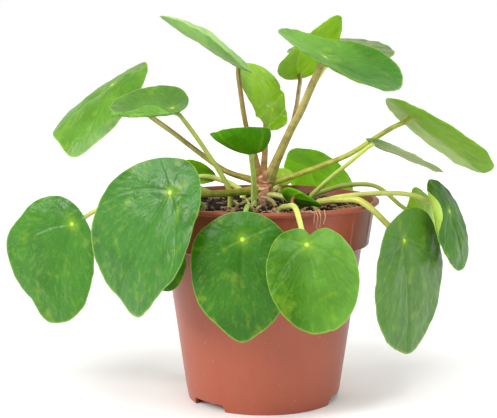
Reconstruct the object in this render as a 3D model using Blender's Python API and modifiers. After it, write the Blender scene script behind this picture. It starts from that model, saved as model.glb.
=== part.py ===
"""Potted Chinese money plant: twenty-two round leaves on long stalks, a short stem, soil and a nursery pot.

Sizes are in millimetres while a shape is being worked out and become metres when its mesh is made.
Front is -Y, the viewer's right is +X and the pot stands on Z = 0.
"""
import math

import bmesh
import bpy
from mathutils import Matrix, Vector

MM = 0.001
FIT = 0.3

# The pot, a 12 cm nursery pot: half profiles as radius and height
POT_OUTSIDE = [(57.0, 104.8), (59.3, 104.8), (60.0, 104.1), (60.0, 103.1), (59.3, 102.4), (57.8, 102.4),
               (54.9, 82.4), (54.2, 81.6), (51.2, 80.2), (40.75, 8.0), (39.3, 0.0)]
POT_INSIDE = [(37.7, 0.0), (38.0, 4.5), (0.0, 4.5), (0.0, 6.0), (38.9, 6.0), (39.45, 8.0),
              (49.75, 81.0), (53.5, 83.6), (56.3, 102.0)]
POT_SEGMENTS = 54
NOTCH_CENTRES = [-45.5, 74.5, 194.5]
NOTCH_WIDTH = 22.0
NOTCH_HEIGHT = 3.8
NOTCH_CORNER = 2.0
DRAIN_HOLES = 6
DRAIN_RADIUS = 4.5
DRAIN_CIRCLE = 26.0

# The soil, lying FIT clear of the pot's inside
ROOTED_Z = 95.6
HOLE_FLOOR_Z = 95.0
SURFACE_Z = 102.2
STEM_RADIUS = 5.0
SOIL_PROFILE = [(0.0, HOLE_FLOOR_Z), (STEM_RADIUS + FIT, HOLE_FLOOR_Z), (STEM_RADIUS + FIT, 101.6),
                (14.0, 101.3), (34.0, 100.6), (50.0, 99.4), (55.45, 98.8), (53.2, 84.1), (49.4, 81.5),
                (39.1, 8.2), (38.6, 6.35), (0.0, 6.35)]
SOIL_SEGMENTS = 36

# The stem, knobbly with old leaf scars
STEM_TOP = 116.6
STEM_TOP_RADIUS = 4.0
STEM_PROFILE = [(0.0, STEM_TOP), (STEM_TOP_RADIUS, STEM_TOP), (4.6, STEM_TOP - 1), (4.7, 107.0), (5.0, 105.0),
                (4.6, 103.4), (4.6, ROOTED_Z), (0.0, ROOTED_Z)]
STEM_SEGMENTS = 16

# Leaf blades
BLADE_THICKNESS = 1.0
BLADE_RINGS = 3
BLADE_SEGMENTS = 24
SMALL_BLADE_SEGMENTS = 18
SMALL_BLADE = 36.0
STALK_SIDES_LEVEL = 1
STALK_CLEARANCE = 0.35
NAVEL_GAP = 0.55
NAVEL_STUB = 2.0

# A leaf's navel is where its stalk meets the blade, and "navel" is its place from the pot's axis.
# "faces" turns the upper side from the front (0) to the right (90), "rise" lifts it from level sight
# to straight up (90) and "turn" swings the tip about it. "reach" is how far the margin lies from the
# navel at the tip, base, left and right, and "droop" is how far tip and sides sag below the navel.
# "taper" narrows the tip, "fold" is a crease: how far from the navel it lies, its angle and its way from
# the tip, and "point" is a short point of the margin: its angle from the tip and how far it stands out.
LEAVES = {
    1: dict(navel=(-99, -8, 92), faces=-25, rise=7, turn=-16, reach=(57, 12, 37, 19),
           droop=(7, 1), taper=0.05),
    2: dict(navel=(-45, -52, 114), faces=-38, rise=18, turn=-31, reach=(63, 17, 34, 35),
           droop=(6, -4), taper=-0.08),
    3: dict(navel=(-83, 42, 162), faces=-56, rise=50, turn=-40, reach=(43, 23, 29, 34),
           droop=(3, 10), taper=-0.15, point=(45, 6)),
    4: dict(navel=(-46.2, -12, 152.4), faces=-31, rise=69, turn=-73.4, reach=(32.6, 8.1, 19.5, 19.6),
           droop=(-2, -4), taper=0.15, fold=(15, -72, 95)),
    5: dict(navel=(-12, -4.6, 174.2), faces=67, rise=60, turn=-162, reach=(46.4, 7.6, 15.4, 30.6),
           droop=(-1, -6), taper=-0.15),
    6: dict(navel=(4.4, 12, 149.8), faces=61.6, rise=13, turn=8.3, reach=(11.9, 26.6, 19, 17.7),
           droop=(4.4, 0), taper=0.17, fold=(4.8, -46.3, 12.5)),
    7: dict(navel=(31, -12, 178), faces=53, rise=61, turn=18, reach=(40, 28, 27, 29),
           droop=(-2, -5), taper=-0.45),
    8: dict(navel=(-6, -27, 131), faces=-164, rise=79.5, turn=133.8, reach=(30.4, 3.3, 12.5, 14.7),
           droop=(-2.8, -7.5), taper=0.23),
    9: dict(navel=(18.5, 41, 168), faces=-136, rise=38.4, turn=-158.9, reach=(38.9, 6.1, 27.6, 11.7),
           droop=(0, 3), taper=0.24, point=(-117.4, 2.8)),
    10: dict(navel=(43, 78, 182), faces=-6, rise=80, turn=75, reach=(32, 30, 28, 28),
            droop=(3, 0), taper=0.0),
    11: dict(navel=(76, -5, 148), faces=113, rise=54, turn=-1, reach=(51, 16, 29, 29),
            droop=(0, -2), taper=-0.2),
    12: dict(navel=(54.5, -30, 137.2), faces=109.2, rise=66.9, turn=-12.1, reach=(36.3, 3.6, 20.1, 20.6),
            droop=(0.5, 0.5), taper=0.3),
    13: dict(navel=(97, 0, 98), faces=64, rise=24.6, turn=0.6, reach=(30.4, 19.2, 23.5, 20.7),
            droop=(4, 2), taper=0.0, fold=(21.3, -100, -97.7)),
    14: dict(navel=(70, -35, 88), faces=52, rise=4, turn=8, reach=(59, 15, 28, 38),
            droop=(3, 2), taper=0.05),
    15: dict(navel=(84.8, 12, 94), faces=57.5, rise=11, turn=2.8, reach=(31.1, 13.1, 22.5, 22.3),
            droop=(3, 3), taper=-0.05, point=(184.6, 2.7)),
    16: dict(navel=(27.5, 79.8, 112.5), faces=146, rise=41, turn=3, reach=(26, 20, 27, 16),
            droop=(4, 3), taper=0.0),
    17: dict(navel=(-43, 35, 116), faces=-169, rise=62, turn=-7, reach=(23, 14, 17, 16),
            droop=(0, 4), taper=0.0),
    18: dict(navel=(-10, -69, 94), faces=-10, rise=13, turn=-1, reach=(46, 14, 25, 25),
            droop=(5, 3), taper=0.1, point=(0, 2)),
    19: dict(navel=(20, -77, 93), faces=8, rise=30, turn=7, reach=(41, 9, 21, 22),
            droop=(4, 3), taper=0.05),
    20: dict(navel=(15.6, -25.1, 109.0), faces=146, rise=43, turn=-75, reach=(12.4, 7.0, 5.6, 7.3),
            droop=(0, 0), taper=0.3),
    21: dict(navel=(-46.5, -46.5, 80), faces=-45, rise=4, turn=-40, reach=(17, 12, 13, 13),
            droop=(1, 1), taper=0.0),
    22: dict(navel=(10.9, 50, 112.2), faces=10, rise=40, turn=-7, reach=(7, 4, 6, 6),
            droop=(1, 0), taper=0.0),
}

# Stalks that rise from the soil: where they root, the points they pass, and their radius low and high
SOIL_STALKS = {
    1: dict(root=(-11, 12), via=[(-12, 14, 107), (-22, 17, 112), (-34, 16, 114), (-60, 12, 107),
                                   (-87, 2, 98)], radius=(1.5, 1.2)),
    4: dict(root=(-17, -8), via=[(-18, -8, 111), (-30, -10, 131), (-42, -13, 148)], radius=(1.4, 1.1)),
    8: dict(root=(-5, -12), via=[(-5, -18, 116), (-6, -25, 127)], radius=(1.5, 1.2)),
    12: dict(root=(24, 4), via=[(29, 0, 110), (45, -18, 126.5), (52, -26, 133.5)], radius=(1.3, 1.0)),
    13: dict(root=(28, -8), via=[(34, -8, 105), (45, -8, 107), (58, -7, 108), (75, -3, 107), (90, 2, 101)],
             radius=(1.5, 1.2)),
    14: dict(root=(27, -15), via=[(32, -21, 106), (40, -29, 107.5), (48, -35, 107.5), (61, -32, 96)],
             radius=(1.8, 1.5)),
    15: dict(root=(25, 12), via=[(33, 14, 107), (47, 15, 110), (60, 14, 109), (74, 15, 98)],
             radius=(1.4, 1.1)),
    17: dict(root=(-28, 26), via=[(-35, 29, 107)], radius=(1.3, 1.1)),
    18: dict(root=(-6, -44), via=[(-7, -52, 107), (-8, -60, 107.5), (-9, -62.5, 103)], radius=(1.3, 1.1)),
    19: dict(root=(8, -40), via=[(12, -50, 107), (15, -59, 107.5), (17, -66, 102)], radius=(1.5, 1.2)),
    20: dict(root=(17, -28.5), via=[], radius=(0.8, 0.7)),
    21: dict(root=(-30, -22), via=[(-36, -30, 106), (-42, -41, 108), (-43.7, -43.4, 103), (-43.6, -43, 90)],
             radius=(1.2, 1.0)),
    22: dict(root=(9, 46), via=[], radius=(1.0, 0.9)),
}

# Stalks that leave the stem's side: the way they leave, the height, then as above
STEM_STALKS = {
    2: dict(way=-70, height=109, via=[(-18, -14, 109), (-31, -28, 110), (-38, -40, 111)], radius=(1.8, 1.6)),
    3: dict(way=-100, height=113, via=[(-19, 4, 118), (-31, 12, 125), (-50, 24, 138), (-61, 31, 145),
                                         (-74, 38, 154)], radius=(1.5, 1.3)),
    10: dict(way=140, height=114.5, via=[(11, 14, 132), (23, 36, 155), (35, 62, 172)], radius=(1.5, 1.3)),
    11: dict(way=85, height=112, via=[(19, -3, 117.9), (31.5, -5.5, 122.8), (44.1, -8, 128.4),
                                         (56.8, -9, 136.7), (65.9, -9, 142.2)], radius=(1.5, 1.3)),
    16: dict(way=125, height=111, via=[(9.3, 15, 112.2), (14.4, 32, 112.1), (20.4, 52, 112),
                                          (24.5, 66, 111.7)], radius=(1.2, 1.1)),
}

# Stalks that stand on the stem's top: where on the top they stand, then as above
TOP_STALKS = {
    5: dict(foot=(-1.8, -0.8), via=[(-4.3, -1, 126.6), (-9, -4, 142.6), (-12.2, -6, 163)], radius=(1.4, 1.2)),
    6: dict(foot=(-0.2, 3.3), via=[(0.8, 5.5, 130), (1, 9, 139)], radius=(1.6, 1.3)),
    7: dict(foot=(2.7, -1.4), via=[(7.4, -4.5, 126.2), (14.1, -8, 141.3), (19.5, -10, 151.9),
                                      (24.8, -11, 164.5)], radius=(2.3, 1.8)),
    9: dict(foot=(2.9, 2.4), via=[(8.4, 8, 129), (14.4, 16, 140), (17.4, 26, 150), (18.8, 33, 158.4)],
            radius=(1.3, 1.1)),
}

# Colour, roughness and metallic value of each sub-part
LOOKS = {
    "pot": ((0.50, 0.13, 0.065, 1.0), 0.45, 0.0),
    "soil": ((0.035, 0.022, 0.014, 1.0), 0.95, 0.0),
    "stem": ((0.30, 0.17, 0.10, 1.0), 0.70, 0.0),
    "leaf": ((0.075, 0.24, 0.028, 1.0), 0.35, 0.0),
    "young_leaf": ((0.17, 0.34, 0.025, 1.0), 0.38, 0.0),
    "stalk": ((0.28, 0.36, 0.09, 1.0), 0.45, 0.0),
    "brown_stalk": ((0.25, 0.17, 0.06, 1.0), 0.50, 0.0),
}
YOUNG_LEAVES = (6, 9, 16, 17, 22)
BROWN_STALKS = (2, 3, 5, 6, 7, 9, 10, 11)


def clear_scene():
    for scene_object in list(bpy.data.objects):
        bpy.data.objects.remove(scene_object, do_unlink=True)


def new_collection(name):
    collection = bpy.data.collections.new(name)
    bpy.context.scene.collection.children.link(collection)
    return collection


def new_material(name, look):
    colour, roughness, metallic = look
    material = bpy.data.materials.new(name)
    material.use_nodes = True
    material.diffuse_color = colour
    shader = material.node_tree.nodes["Principled BSDF"]
    shader.inputs["Base Color"].default_value = colour
    shader.inputs["Roughness"].default_value = roughness
    shader.inputs["Metallic"].default_value = metallic
    return material


def new_part(name, mesh, collection, look):
    part = bpy.data.objects.new(name, mesh)
    collection.objects.link(part)
    part.data.materials.clear()
    part.data.materials.append(new_material(name, LOOKS[look]))
    return part


def finish_mesh(bm, name):
    bmesh.ops.remove_doubles(bm, verts=bm.verts, dist=1e-6)
    bmesh.ops.recalc_face_normals(bm, faces=bm.faces)
    mesh = bpy.data.meshes.new(name)
    bm.to_mesh(mesh)
    bm.free()
    return mesh


def turned_mesh(name, profile, segments, closed):
    """Spin a half profile of (radius, height) pairs about the pot's axis."""
    bm = bmesh.new()
    points = [bm.verts.new((radius * MM, 0.0, height * MM)) for radius, height in profile]
    edges = [bm.edges.new(pair) for pair in zip(points, points[1:])]
    if closed:
        edges.append(bm.edges.new((points[-1], points[0])))
    bmesh.ops.spin(bm, geom=points + edges, cent=(0, 0, 0), axis=(0, 0, 1), dvec=(0, 0, 0),
                   angle=math.tau, steps=segments, use_duplicate=False)
    return finish_mesh(bm, name)


def cutter_object(name, mesh, cutters):
    cutter = bpy.data.objects.new(name, mesh)
    cutter.hide_render = True
    cutter.display_type = "WIRE"
    cutters.objects.link(cutter)
    return cutter


def cut(part, cutter):
    boolean = part.modifiers.new(cutter.name, "BOOLEAN")
    boolean.operation = "DIFFERENCE"
    boolean.solver = "EXACT"
    boolean.object = cutter


def rod_cutter(name, x, y, radius, bottom, top, segments, cutters):
    bm = bmesh.new()
    place = Matrix.Translation((x * MM, y * MM, (bottom + top) / 2 * MM))
    bmesh.ops.create_cone(bm, cap_ends=True, segments=segments, radius1=radius * MM, radius2=radius * MM,
                          depth=(top - bottom) * MM, matrix=place)
    return cutter_object(name, finish_mesh(bm, name), cutters)


def notch_cutter(name, degrees, cutters):
    """A block with rounded upper corners that cuts one drain notch through the pot's foot."""
    bm = bmesh.new()
    bmesh.ops.create_cube(bm, size=1.0)
    bmesh.ops.scale(bm, vec=(NOTCH_WIDTH * MM, 12.0 * MM, 2 * NOTCH_HEIGHT * MM), verts=bm.verts)
    corners = [edge for edge in bm.edges if all(v.co.z > 0 for v in edge.verts)
               and abs(edge.verts[0].co.x - edge.verts[1].co.x) < 1e-9]
    bmesh.ops.bevel(bm, geom=corners, offset=NOTCH_CORNER * MM, segments=3, profile=0.5, affect="EDGES")
    bmesh.ops.translate(bm, vec=(0, -39.0 * MM, 0), verts=bm.verts)
    turn = Matrix.Rotation(math.radians(degrees), 3, "Z")
    bmesh.ops.rotate(bm, cent=(0, 0, 0), matrix=turn, verts=bm.verts)
    return cutter_object(name, finish_mesh(bm, name), cutters)


def build_pot(parts, cutters):
    mesh = turned_mesh("pot", POT_OUTSIDE + POT_INSIDE, POT_SEGMENTS, True)
    pot = new_part("pot", mesh, parts, "pot")
    for number, degrees in enumerate(NOTCH_CENTRES, 1):
        cut(pot, notch_cutter(f"notch_cutter_{number}", degrees, cutters))
    for number in range(DRAIN_HOLES):
        angle = math.tau * number / DRAIN_HOLES
        x = DRAIN_CIRCLE * math.cos(angle)
        y = DRAIN_CIRCLE * math.sin(angle)
        cut(pot, rod_cutter(f"drain_cutter_{number + 1}", x, y, DRAIN_RADIUS, 3.0, 8.0, 16, cutters))


def build_soil(parts, cutters):
    soil = new_part("soil", turned_mesh("soil", SOIL_PROFILE, SOIL_SEGMENTS, False), parts, "soil")
    for number, stalk in SOIL_STALKS.items():
        radius = stalk["radius"][0] + STALK_CLEARANCE
        x, y = stalk["root"]
        cut(soil, rod_cutter(f"stalk_hole_cutter_{number:02d}", x, y, radius, HOLE_FLOOR_Z, 110, 12, cutters))


def build_stem(parts):
    new_part("stem", turned_mesh("stem", STEM_PROFILE, STEM_SEGMENTS, False), parts, "stem")


def leaf_axes(leaf):
    """The blade's own directions: towards its tip, towards its right side and out of its upper face."""
    faces, rise, turn = (math.radians(leaf[key]) for key in ("faces", "rise", "turn"))
    level = Vector((math.sin(faces), -math.cos(faces), 0))
    out = level * math.cos(rise) + Vector((0, 0, math.sin(rise)))
    downhill = level * math.sin(rise) - Vector((0, 0, math.cos(rise)))
    across = out.cross(downhill)
    tipward = downhill * math.cos(turn) + across * math.sin(turn)
    return tipward, out.cross(tipward), out


def folded(leaf, along, across, height):
    """Bend what lies past the fold line round a small radius."""
    start, degrees, towards = leaf["fold"]
    bend = math.radians(abs(degrees))
    side = math.copysign(1.0, degrees)
    radius = 3.0
    way = Vector((math.cos(math.radians(towards)), math.sin(math.radians(towards))))
    forward = way.dot((along, across))
    past = forward - start
    if past <= 0:
        return along, across, height
    turned = min(past, bend * radius) / radius
    straight = max(past - bend * radius, 0.0)
    new_forward = start + radius * math.sin(turned) + straight * math.cos(turned)
    new_forward += side * height * math.sin(turned)
    drop = radius * (1 - math.cos(turned)) + straight * math.sin(turned)
    moved = Vector((along, across)) + way * (new_forward - forward)
    return moved.x, moved.y, height * math.cos(turned) - side * drop


def blade_point(leaf, angle, share):
    """A point of the blade's upper face at an angle from the tip and a share of the way to the margin."""
    tip, base, left, right = leaf["reach"]
    tip_droop, side_droop = leaf["droop"]
    half_length = (tip + base) / 2
    half_width = (left + right) / 2
    along = share * ((tip - base) / 2 + half_length * math.cos(angle))
    narrowing = 1 - leaf["taper"] * math.cos(angle)
    across = share * ((right - left) / 2 + half_width * math.sin(angle) * narrowing)
    if "point" in leaf:
        towards, extra = leaf["point"]
        peak = share * extra * max(math.cos(angle - math.radians(towards)), 0.0) ** 24
        along += peak * math.cos(angle)
        across += peak * math.sin(angle)
    height = -tip_droop * (along / half_length) ** 2 - side_droop * (across / half_width) ** 2
    if "fold" in leaf:
        along, across, height = folded(leaf, along, across, height)
    tipward, rightward, out = leaf_axes(leaf)
    return Vector(leaf["navel"]) + tipward * along + rightward * across + out * height


def build_blade(number, leaf, parts):
    name = f"leaf_{number:02d}"
    tip, base = leaf["reach"][:2]
    segments = SMALL_BLADE_SEGMENTS if tip + base < SMALL_BLADE else BLADE_SEGMENTS
    bm = bmesh.new()
    centre = bm.verts.new(blade_point(leaf, 0, 0) * MM)
    rings = []
    for ring in range(1, BLADE_RINGS + 1):
        share = ring / BLADE_RINGS
        rings.append([bm.verts.new(blade_point(leaf, math.tau * step / segments, share) * MM)
                      for step in range(segments)])
    for step in range(segments):
        following = (step + 1) % segments
        bm.faces.new((centre, rings[0][step], rings[0][following]))
        for inner, outer in zip(rings, rings[1:]):
            bm.faces.new((inner[step], outer[step], outer[following]))
            bm.faces.new((inner[step], outer[following], inner[following]))
    mesh = bpy.data.meshes.new(name)
    bm.normal_update()
    bm.to_mesh(mesh)
    bm.free()
    blade = new_part(name, mesh, parts, "young_leaf" if number in YOUNG_LEAVES else "leaf")
    solidify = blade.modifiers.new("thickness", "SOLIDIFY")
    solidify.thickness = BLADE_THICKNESS * MM
    solidify.offset = -1.0


def smooth_route(points, steps):
    """Run a curve through the points, with its first and last stretches straight."""
    headings = [points[1] - points[0], points[1] - points[0]]
    headings += [after - before for before, after in zip(points[1:-3], points[3:-1])]
    headings += [points[-1] - points[-2]]
    route = [points[0]]
    for index in range(1, len(points) - 2):
        start, stop = points[index], points[index + 1]
        length = (stop - start).length
        leaving = headings[index].normalized() * length
        arriving = headings[index + 1].normalized() * length
        for step in range(steps):
            t = step / steps
            route.append(start * (2 * t ** 3 - 3 * t ** 2 + 1) + leaving * (t ** 3 - 2 * t ** 2 + t)
                         + stop * (3 * t ** 2 - 2 * t ** 3) + arriving * (t ** 3 - t ** 2))
    return route + points[-2:]


def stalk_start(number):
    """The first points of a stalk, which stands in the soil, leaves the stem's side or stands on its top."""
    if number in SOIL_STALKS:
        x, y = SOIL_STALKS[number]["root"]
        return [Vector((x, y, ROOTED_Z)), Vector((x, y, SURFACE_Z))]
    if number in STEM_STALKS:
        stalk = STEM_STALKS[number]
        way = math.radians(stalk["way"])
        outward = Vector((math.sin(way), -math.cos(way), 0.0))
        base = outward * (STEM_RADIUS + 0.4) + Vector((0, 0, stalk["height"]))
        return [base, base + outward * (stalk["radius"][0] + 0.7)]
    stalk = TOP_STALKS[number]
    base = Vector((*stalk["foot"], STEM_TOP + FIT))
    heading = (Vector(stalk["via"][0]) - base).normalized()
    overhang = min(stalk["radius"][0] * heading.z, STEM_TOP_RADIUS - Vector(stalk["foot"]).length)
    base.z += overhang * heading.to_2d().length / heading.z
    return [base, base + heading * 2.0]


def stalk_route(number, stalk):
    leaf = LEAVES[number]
    out = leaf_axes(leaf)[2]
    navel = Vector(leaf["navel"])
    end = navel - out * (BLADE_THICKNESS + NAVEL_GAP)
    via = [Vector(point) for point in stalk["via"]]
    return stalk_start(number) + via + [end - out * NAVEL_STUB, end]


def build_stalk(number, stalk, parts):
    name = f"stalk_{number:02d}"
    points = smooth_route(stalk_route(number, stalk), 2)
    low, high = stalk["radius"]
    curve = bpy.data.curves.new(name, "CURVE")
    curve.dimensions = "3D"
    curve.bevel_depth = MM
    curve.bevel_resolution = STALK_SIDES_LEVEL
    curve.use_fill_caps = True
    spline = curve.splines.new("POLY")
    spline.points.add(len(points) - 1)
    for index, (spot, point) in enumerate(zip(spline.points, points)):
        share = index / (len(points) - 1)
        spot.co = (*(point * MM), 1.0)
        spot.radius = low + (high - low) * share
    holder = bpy.data.objects.new("curve_holder", curve)
    bpy.context.scene.collection.objects.link(holder)
    shapes = bpy.context.evaluated_depsgraph_get()
    mesh = bpy.data.meshes.new_from_object(holder.evaluated_get(shapes))
    bpy.data.objects.remove(holder, do_unlink=True)
    bm = bmesh.new()
    bm.from_mesh(mesh)
    new_part(name, finish_mesh(bm, name), parts, "brown_stalk" if number in BROWN_STALKS else "stalk")


def centre_on_origin(parts, cutters):
    """Move everything so that the origin lies under the middle of the whole plant's box."""
    bpy.context.view_layer.update()
    shapes = bpy.context.evaluated_depsgraph_get()
    corners = [vertex.co.copy() for part in parts.objects
               for vertex in part.evaluated_get(shapes).data.vertices]
    middle_x = (min(corner.x for corner in corners) + max(corner.x for corner in corners)) / 2
    middle_y = (min(corner.y for corner in corners) + max(corner.y for corner in corners)) / 2
    for scene_object in [*parts.objects, *cutters.objects]:
        scene_object.data.transform(Matrix.Translation((-middle_x, -middle_y, 0)))


def build():
    clear_scene()
    parts = new_collection("potted_money_plant")
    cutters = new_collection("cutters")
    build_pot(parts, cutters)
    build_soil(parts, cutters)
    build_stem(parts)
    for number, leaf in LEAVES.items():
        build_blade(number, leaf, parts)
    for number, stalk in sorted({**SOIL_STALKS, **STEM_STALKS, **TOP_STALKS}.items()):
        build_stalk(number, stalk, parts)
    centre_on_origin(parts, cutters)


build()
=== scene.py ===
"""The looks of a potted Chinese money plant in a nursery pot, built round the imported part.

Every piece is shaped in millimetres from the pot's axis, as in the part, and finish_piece makes it metres
in the part's own frame. Front is -Y and the viewer's right is +X.
"""

import random
from math import atan2, copysign, cos, degrees, exp, hypot, pi, radians, sin, sqrt, tau

import bmesh
import bpy
from mathutils import Matrix, Vector, geometry, noise


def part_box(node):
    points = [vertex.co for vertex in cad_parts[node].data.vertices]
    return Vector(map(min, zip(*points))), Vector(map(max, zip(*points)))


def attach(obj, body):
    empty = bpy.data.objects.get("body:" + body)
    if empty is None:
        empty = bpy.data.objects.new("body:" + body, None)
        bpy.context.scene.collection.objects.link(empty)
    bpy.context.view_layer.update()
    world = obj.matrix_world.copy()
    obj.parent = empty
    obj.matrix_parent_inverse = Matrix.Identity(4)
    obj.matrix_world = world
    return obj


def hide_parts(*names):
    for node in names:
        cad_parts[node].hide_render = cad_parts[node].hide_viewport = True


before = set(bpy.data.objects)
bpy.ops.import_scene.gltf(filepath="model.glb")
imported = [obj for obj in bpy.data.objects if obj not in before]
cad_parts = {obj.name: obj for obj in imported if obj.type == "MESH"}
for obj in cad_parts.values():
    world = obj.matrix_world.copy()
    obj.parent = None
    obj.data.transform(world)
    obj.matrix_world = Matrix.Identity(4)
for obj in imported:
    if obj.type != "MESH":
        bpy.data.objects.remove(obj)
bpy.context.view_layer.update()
pot_low, pot_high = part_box("pot")
POT_AXIS = Vector(((pot_low.x + pot_high.x) / 2, (pot_low.y + pot_high.y) / 2, 0))
MM = 0.001


# Studio, in metres: a white sweep in a white room, five soft boxes on the plant and one on the wall behind.
# The camera stands 0.66 m in front of the pot's axis and 188 mm up, and looks slightly down, as a fit to the
# pot's lip, band and foot gives.
def add_object(name, data):
    made = bpy.data.objects.new(name, data)
    bpy.context.scene.collection.objects.link(made)
    return made


def soft_box(name, place, size, watts, colour=(1.0, 1.0, 1.0), aim=(0, 0, 0.1)):
    light = bpy.data.lights.new(name, "AREA")
    light.shape = "DISK"
    light.size = size
    light.energy = watts
    light.color = colour
    lamp = add_object(name, light)
    lamp.location = POT_AXIS + Vector(place)
    lamp.rotation_euler = (Vector(aim) - Vector(place)).to_track_quat("-Z", "Y").to_euler()


def new_material(name, roughness):
    material = bpy.data.materials.new(name)
    material.use_nodes = True
    shader = material.node_tree.nodes["Principled BSDF"]
    shader.inputs["Roughness"].default_value = roughness
    return material, material.node_tree, shader


sweep_side, sweep_front, floor_depth, bend_step, wall_height = 4.0, 3.0, 5.0, 0.2, 3.0
sweep_mesh = bmesh.new()
near = [sweep_mesh.verts.new((side, -sweep_front, 0)) for side in (-sweep_side, sweep_side)]
sweep_edges = [sweep_mesh.edges.new(near)]
bend = [(0, bend_step * cos(radians(rise)), bend_step * sin(radians(rise)))
        for rise in range(5, 90, 10)]
for step in [(0, floor_depth, 0)] + bend + [(0, 0, wall_height)]:
    pulled = bmesh.ops.extrude_edge_only(sweep_mesh, edges=sweep_edges)["geom"]
    sweep_edges = [item for item in pulled if isinstance(item, bmesh.types.BMEdge)]
    bmesh.ops.translate(sweep_mesh, vec=step, verts=[v for v in pulled if isinstance(v, bmesh.types.BMVert)])
sweep_data = bpy.data.meshes.new("studio_sweep")
sweep_mesh.to_mesh(sweep_data)
sweep_mesh.free()
sweep = add_object("studio_sweep", sweep_data)
sweep_material, sweep_tree, sweep_shader = new_material("studio_white", 0.9)
sweep_shader.inputs["Base Color"].default_value = (0.92, 0.92, 0.92, 1)
sweep_data.materials.append(sweep_material)
sweep_data.shade_smooth()

world = bpy.data.worlds.new("studio_room")
world.use_nodes = True
world.node_tree.nodes["Background"].inputs["Color"].default_value = (1, 1, 1, 1)
world.node_tree.nodes["Background"].inputs["Strength"].default_value = 0.60
bpy.context.scene.world = world
bpy.context.scene.view_settings.view_transform = "Standard"
soft_box("key_light", (-0.80, -0.85, 0.95), 1.0, 12, (1.0, 0.98, 0.95))
soft_box("window_light", (-1.10, -0.30, 0.50), 0.36, 6, (1.0, 0.99, 0.97))
soft_box("top_light", (0.25, -0.65, 1.05), 0.5, 4)
soft_box("fill_light", (0.9, -0.7, 0.5), 0.8, 1.1, (0.96, 0.98, 1.0))
soft_box("back_light", (0.95, 0.15, 0.95), 0.6, 6.5, aim=(0.1, 0.05, 0))
soft_box("wall_light", (0, 1.15, 1.05), 1.4, 15, aim=(0, 2.15, 0.35))

looks_down, looks_left = 0.1347, 0.0118
camera_data = bpy.data.cameras.new("photo_camera")
camera_data.lens = 92.64
camera_data.sensor_width = 36
camera = add_object("photo_camera", camera_data)
camera.location = POT_AXIS + Vector((0, -0.6589, 0.1882))
camera.rotation_euler = (pi / 2 - looks_down, 0, looks_left)
bpy.context.scene.camera = camera


# Pot: one piece of moulded terracotta-coloured plastic, with a rolled lip, a tall band under it with shallow
# ribs, a tapered body, a raised floor with drain holes and a foot ring cut by three rounded drain notches.
pot_steps = 288
pot_outside = [(57.0, 104.6), (57.4, 104.8), (59.2, 104.8), (59.8, 104.4), (60.0, 103.6), (59.8, 102.9),
               (59.2, 102.5), (58.1, 102.4), (57.75, 102.0), (57.7, 101.0), (55.1, 83.6), (54.9, 82.3),
               (54.4, 81.7), (52.2, 80.9), (51.3, 80.3), (51.0, 79.2), (40.9, 9.0), (40.5, 6.0), (39.4, 0.4),
               (39.0, 0.0)]
pot_inside = [(38.0, 0.0), (37.7, 0.4), (38.0, 4.5), (0.0, 4.5), (0.0, 6.0), (38.6, 6.0), (39.45, 7.5),
              (49.7, 80.0), (50.4, 81.6), (53.2, 83.2), (53.8, 84.6), (56.3, 101.5), (56.6, 104.0)]
band_bottom, band_top, band_inside = 82.5, 101.5, 54.6
rib_spacing, first_rib, rib_width, rib_height, band_sink = 20, 10, 0.75, 0.35, 0.18
notch_places, notch_width, notch_height, notch_corner, foot_radius = (-45.5, 74.5, 194.5), 22.0, 3.8, 2.0, 39
drain_holes, drain_radius, drain_circle, drain_height = 6, 4.5, 26, 5.5


def rgb(red, green, blue):
    """A colour given as it looks on screen, from 0 to 255, made linear."""
    return (*((value / 255) ** 2.2 for value in (red, green, blue)), 1.0)


def finish_piece(bm, name, materials, nodes=(), sharp=35):
    """Turn a mesh in millimetres round the pot's axis into a finished piece of the model."""
    bmesh.ops.scale(bm, vec=(MM, MM, MM), verts=bm.verts)
    bmesh.ops.translate(bm, vec=POT_AXIS, verts=bm.verts)
    mesh = bpy.data.meshes.new(name)
    bm.to_mesh(mesh)
    bm.free()
    mesh.shade_smooth()
    mesh.set_sharp_from_angle(angle=radians(sharp))
    for material in materials:
        mesh.materials.append(material)
    piece = add_object(name, mesh)
    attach(piece, "root")
    if nodes:
        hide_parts(*nodes)


def spun(profile, steps, closed=False):
    """A bmesh of a half profile of (radius, height) pairs turned about the axis."""
    bm = bmesh.new()
    points = [bm.verts.new((radius, 0, height)) for radius, height in profile]
    edges = [bm.edges.new(pair) for pair in zip(points, points[1:])]
    if closed:
        edges.append(bm.edges.new((points[-1], points[0])))
    bmesh.ops.spin(bm, geom=points + edges, cent=(0, 0, 0), axis=(0, 0, 1), dvec=(0, 0, 0),
                   angle=tau, steps=steps, use_merge=True, use_duplicate=False)
    bmesh.ops.remove_doubles(bm, verts=bm.verts, dist=1e-4)
    bmesh.ops.recalc_face_normals(bm, faces=bm.faces)
    return bm


def boolean_cut(bm, cutters):
    """Cut bmeshes out of a bmesh with Blender's exact Boolean and give the result back as a bmesh."""
    shapes = []
    for solid in [bm] + cutters:
        mesh = bpy.data.meshes.new("blank")
        solid.to_mesh(mesh)
        solid.free()
        shapes.append(add_object("blank", mesh))
    for cutter in shapes[1:]:
        boolean = shapes[0].modifiers.new("cut", "BOOLEAN")
        boolean.solver = "EXACT"
        boolean.object = cutter
    result = bmesh.new()
    result.from_mesh(shapes[0].evaluated_get(bpy.context.evaluated_depsgraph_get()).to_mesh())
    for used in shapes:
        bpy.data.objects.remove(used, do_unlink=True)
    return result


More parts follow.
